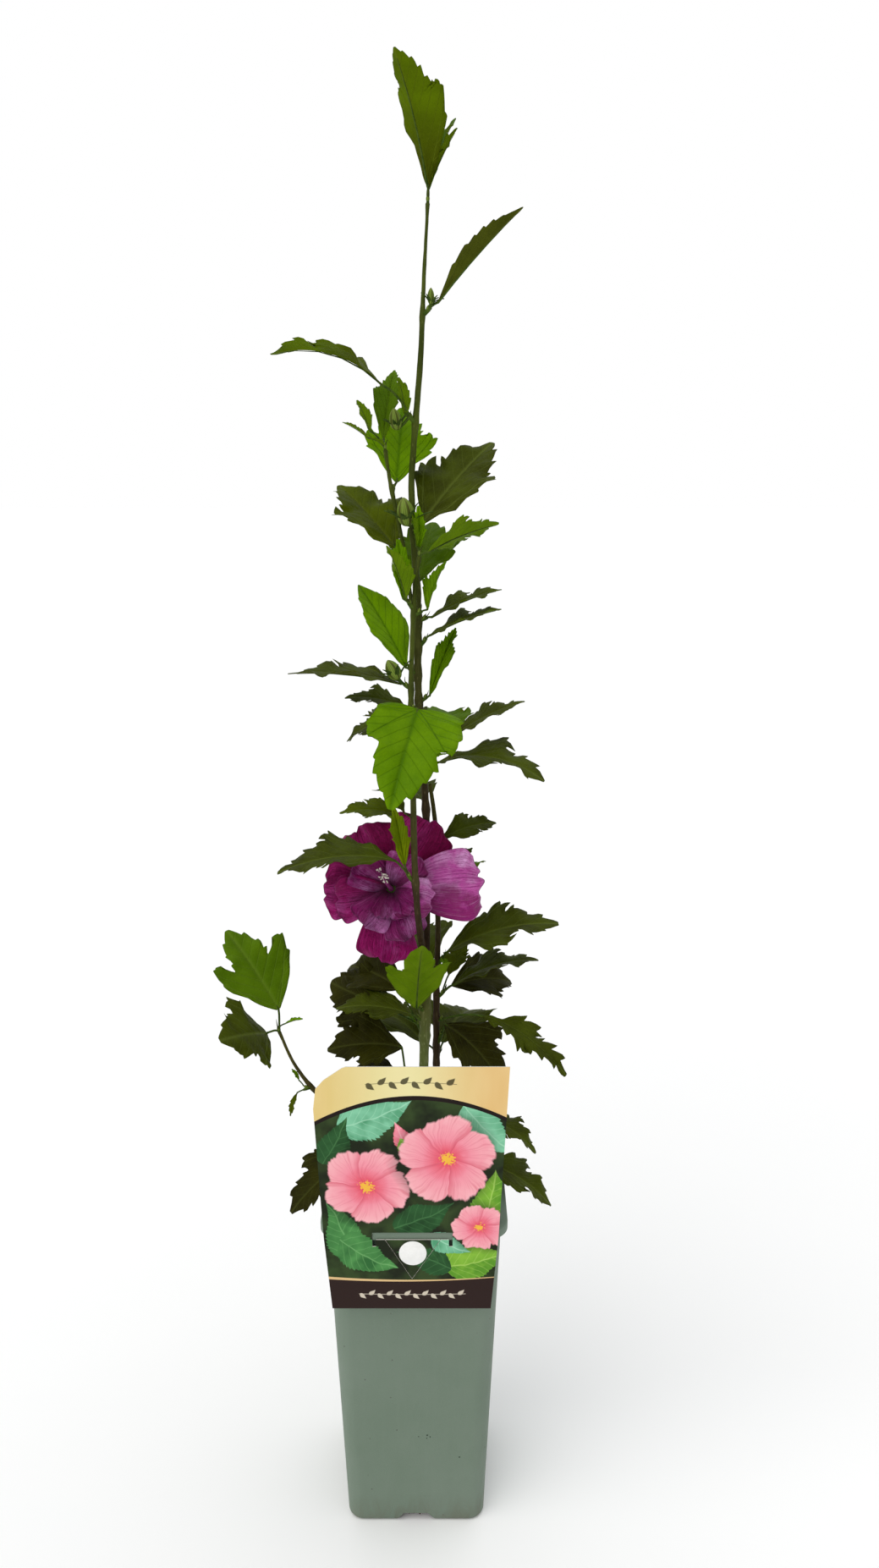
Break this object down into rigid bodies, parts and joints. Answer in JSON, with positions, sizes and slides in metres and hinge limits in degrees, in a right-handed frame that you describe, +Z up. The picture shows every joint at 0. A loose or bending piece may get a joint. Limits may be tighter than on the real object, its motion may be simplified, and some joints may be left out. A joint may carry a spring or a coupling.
{
  "type": "potted hibiscus shrub",
  "caption": "Young flowering hibiscus shrub with slender upright stems, lobed leaves and a purple bloom, in a tall square nursery pot with a hang-on picture card.",
  "frame": {"origin": "centre of the pot's flat underside, on the surface that it stands on", "axes": "+Z up along the stems; +Y away from the picture card, so the card faces -Y; +X to the right as seen from the card's side"},
  "size_m": [0.2016, 0.1588, 0.8358],
  "materials": {
    "pot": "matte grey-green moulded plastic",
    "soil": "crumbly dark brown potting mix",
    "card": "glossy printed card",
    "trunk": "pale green young bark",
    "stem": "brown-green young bark",
    "leaf": "satin green leaf",
    "bloom": "velvety magenta-purple petal"
  },
  "bodies": {
    "root": {"bloom": "bloom", "card": "card", "foliage_back_a": "leaf", "foliage_back_b": "leaf", "foliage_back_c": "leaf", "foliage_back_d": "leaf", "foliage_back_e": "leaf", "foliage_back_f": "leaf", "foliage_bloom_left": "leaf", "foliage_bloom_right": "leaf", "foliage_bloom_under": "leaf", "foliage_eye_left": "leaf", "foliage_eye_right": "leaf", "foliage_fork": "leaf", "foliage_front_big": "leaf", "foliage_front_left": "leaf", "foliage_front_right": "leaf", "foliage_front_tip": "leaf", "foliage_front_upper": "leaf", "foliage_left_a": "leaf", "foliage_left_b": "leaf", "foliage_left_c": "leaf", "foliage_left_d": "leaf", "foliage_left_e": "leaf", "foliage_low_left": "leaf", "foliage_low_left_bud": "leaf", "foliage_mid_left": "leaf", "foliage_mid_right": "leaf", "foliage_pot_left": "leaf", "foliage_pot_right": "leaf", "foliage_right_a": "leaf", "foliage_right_b": "leaf", "foliage_right_c": "leaf", "foliage_right_d": "leaf", "foliage_right_e": "leaf", "foliage_right_f": "leaf", "foliage_right_g": "leaf", "foliage_tip": "leaf", "foliage_twig": "leaf", "foliage_twig_tip": "leaf", "foliage_upper_left": "leaf", "foliage_upper_right": "leaf", "pot": "pot", "shoot_basal": "stem", "shoot_low_left": "stem", "shoot_upper_left": "stem", "soil": "soil", "stem_front": "stem", "stem_leader": "stem", "stem_slender": "stem", "trunk": "trunk"}
  },
  "joints": []
}
